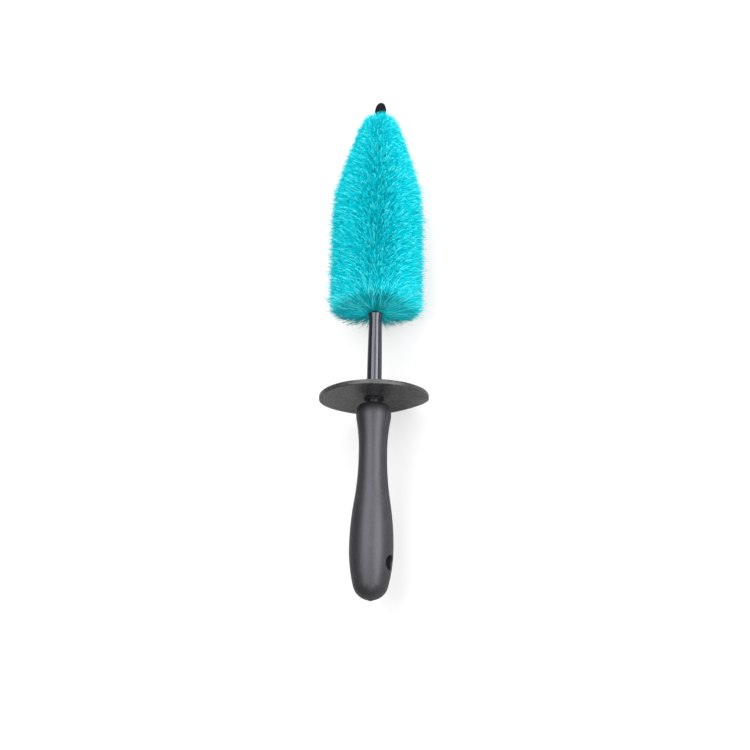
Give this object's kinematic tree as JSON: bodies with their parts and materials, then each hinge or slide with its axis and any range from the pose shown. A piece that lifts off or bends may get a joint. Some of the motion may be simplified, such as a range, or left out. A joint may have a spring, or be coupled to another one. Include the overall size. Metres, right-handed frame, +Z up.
{
  "type": "wheel brush",
  "caption": "Long-reach cleaning brush: contoured handle with a hang hole, round splash guard on a sleeved stem, and a soft tapered twisted-in-wire bristle head.",
  "frame": {"origin": "under the middle of the brush's length, on the plane that the splash guard's rim touches", "axes": "+Y along the brush from the butt of the handle to the tip cap, +Z up, +X to the right and along the hang hole"},
  "size_m": [0.09, 0.4304, 0.09],
  "materials": {
    "handle_plastic": "satin",
    "guard_rubber": "satin",
    "grommet_rubber": "matte",
    "sleeve_vinyl": "gloss",
    "cap_rubber": "matte",
    "plated_steel": "satin",
    "bristle_fibre": "satin"
  },
  "bodies": {
    "brush": {"handle": "handle_plastic", "anchor_ferrule": "plated_steel", "sleeve": "sleeve_vinyl", "stem_wire_a": "plated_steel", "stem_wire_b": "plated_steel", "tip_cap": "cap_rubber", "bristle_band_1": "bristle_fibre", "bristle_band_2": "bristle_fibre", "bristle_band_3": "bristle_fibre", "bristle_band_4": "bristle_fibre", "bristle_band_5": "bristle_fibre", "bristle_band_6": "bristle_fibre", "bristle_band_7": "bristle_fibre", "bristle_band_8": "bristle_fibre", "bristle_band_9": "bristle_fibre", "bristle_band_10": "bristle_fibre"},
    "grommet": {"guard_grommet": "grommet_rubber"},
    "guard": {"splash_guard": "guard_rubber"}
  },
  "joints": [
    {"name": "guard_slide", "type": "slide", "parent": "brush", "child": "grommet", "axis": [0, 1, 0], "range_m": [-0.0035, 0.058]},
    {"name": "guard_spin", "type": "hinge", "parent": "grommet", "child": "guard", "pos_m": [0, -0.0459, 0.045], "axis": [0, 1, 0], "continuous": true}
  ]
}
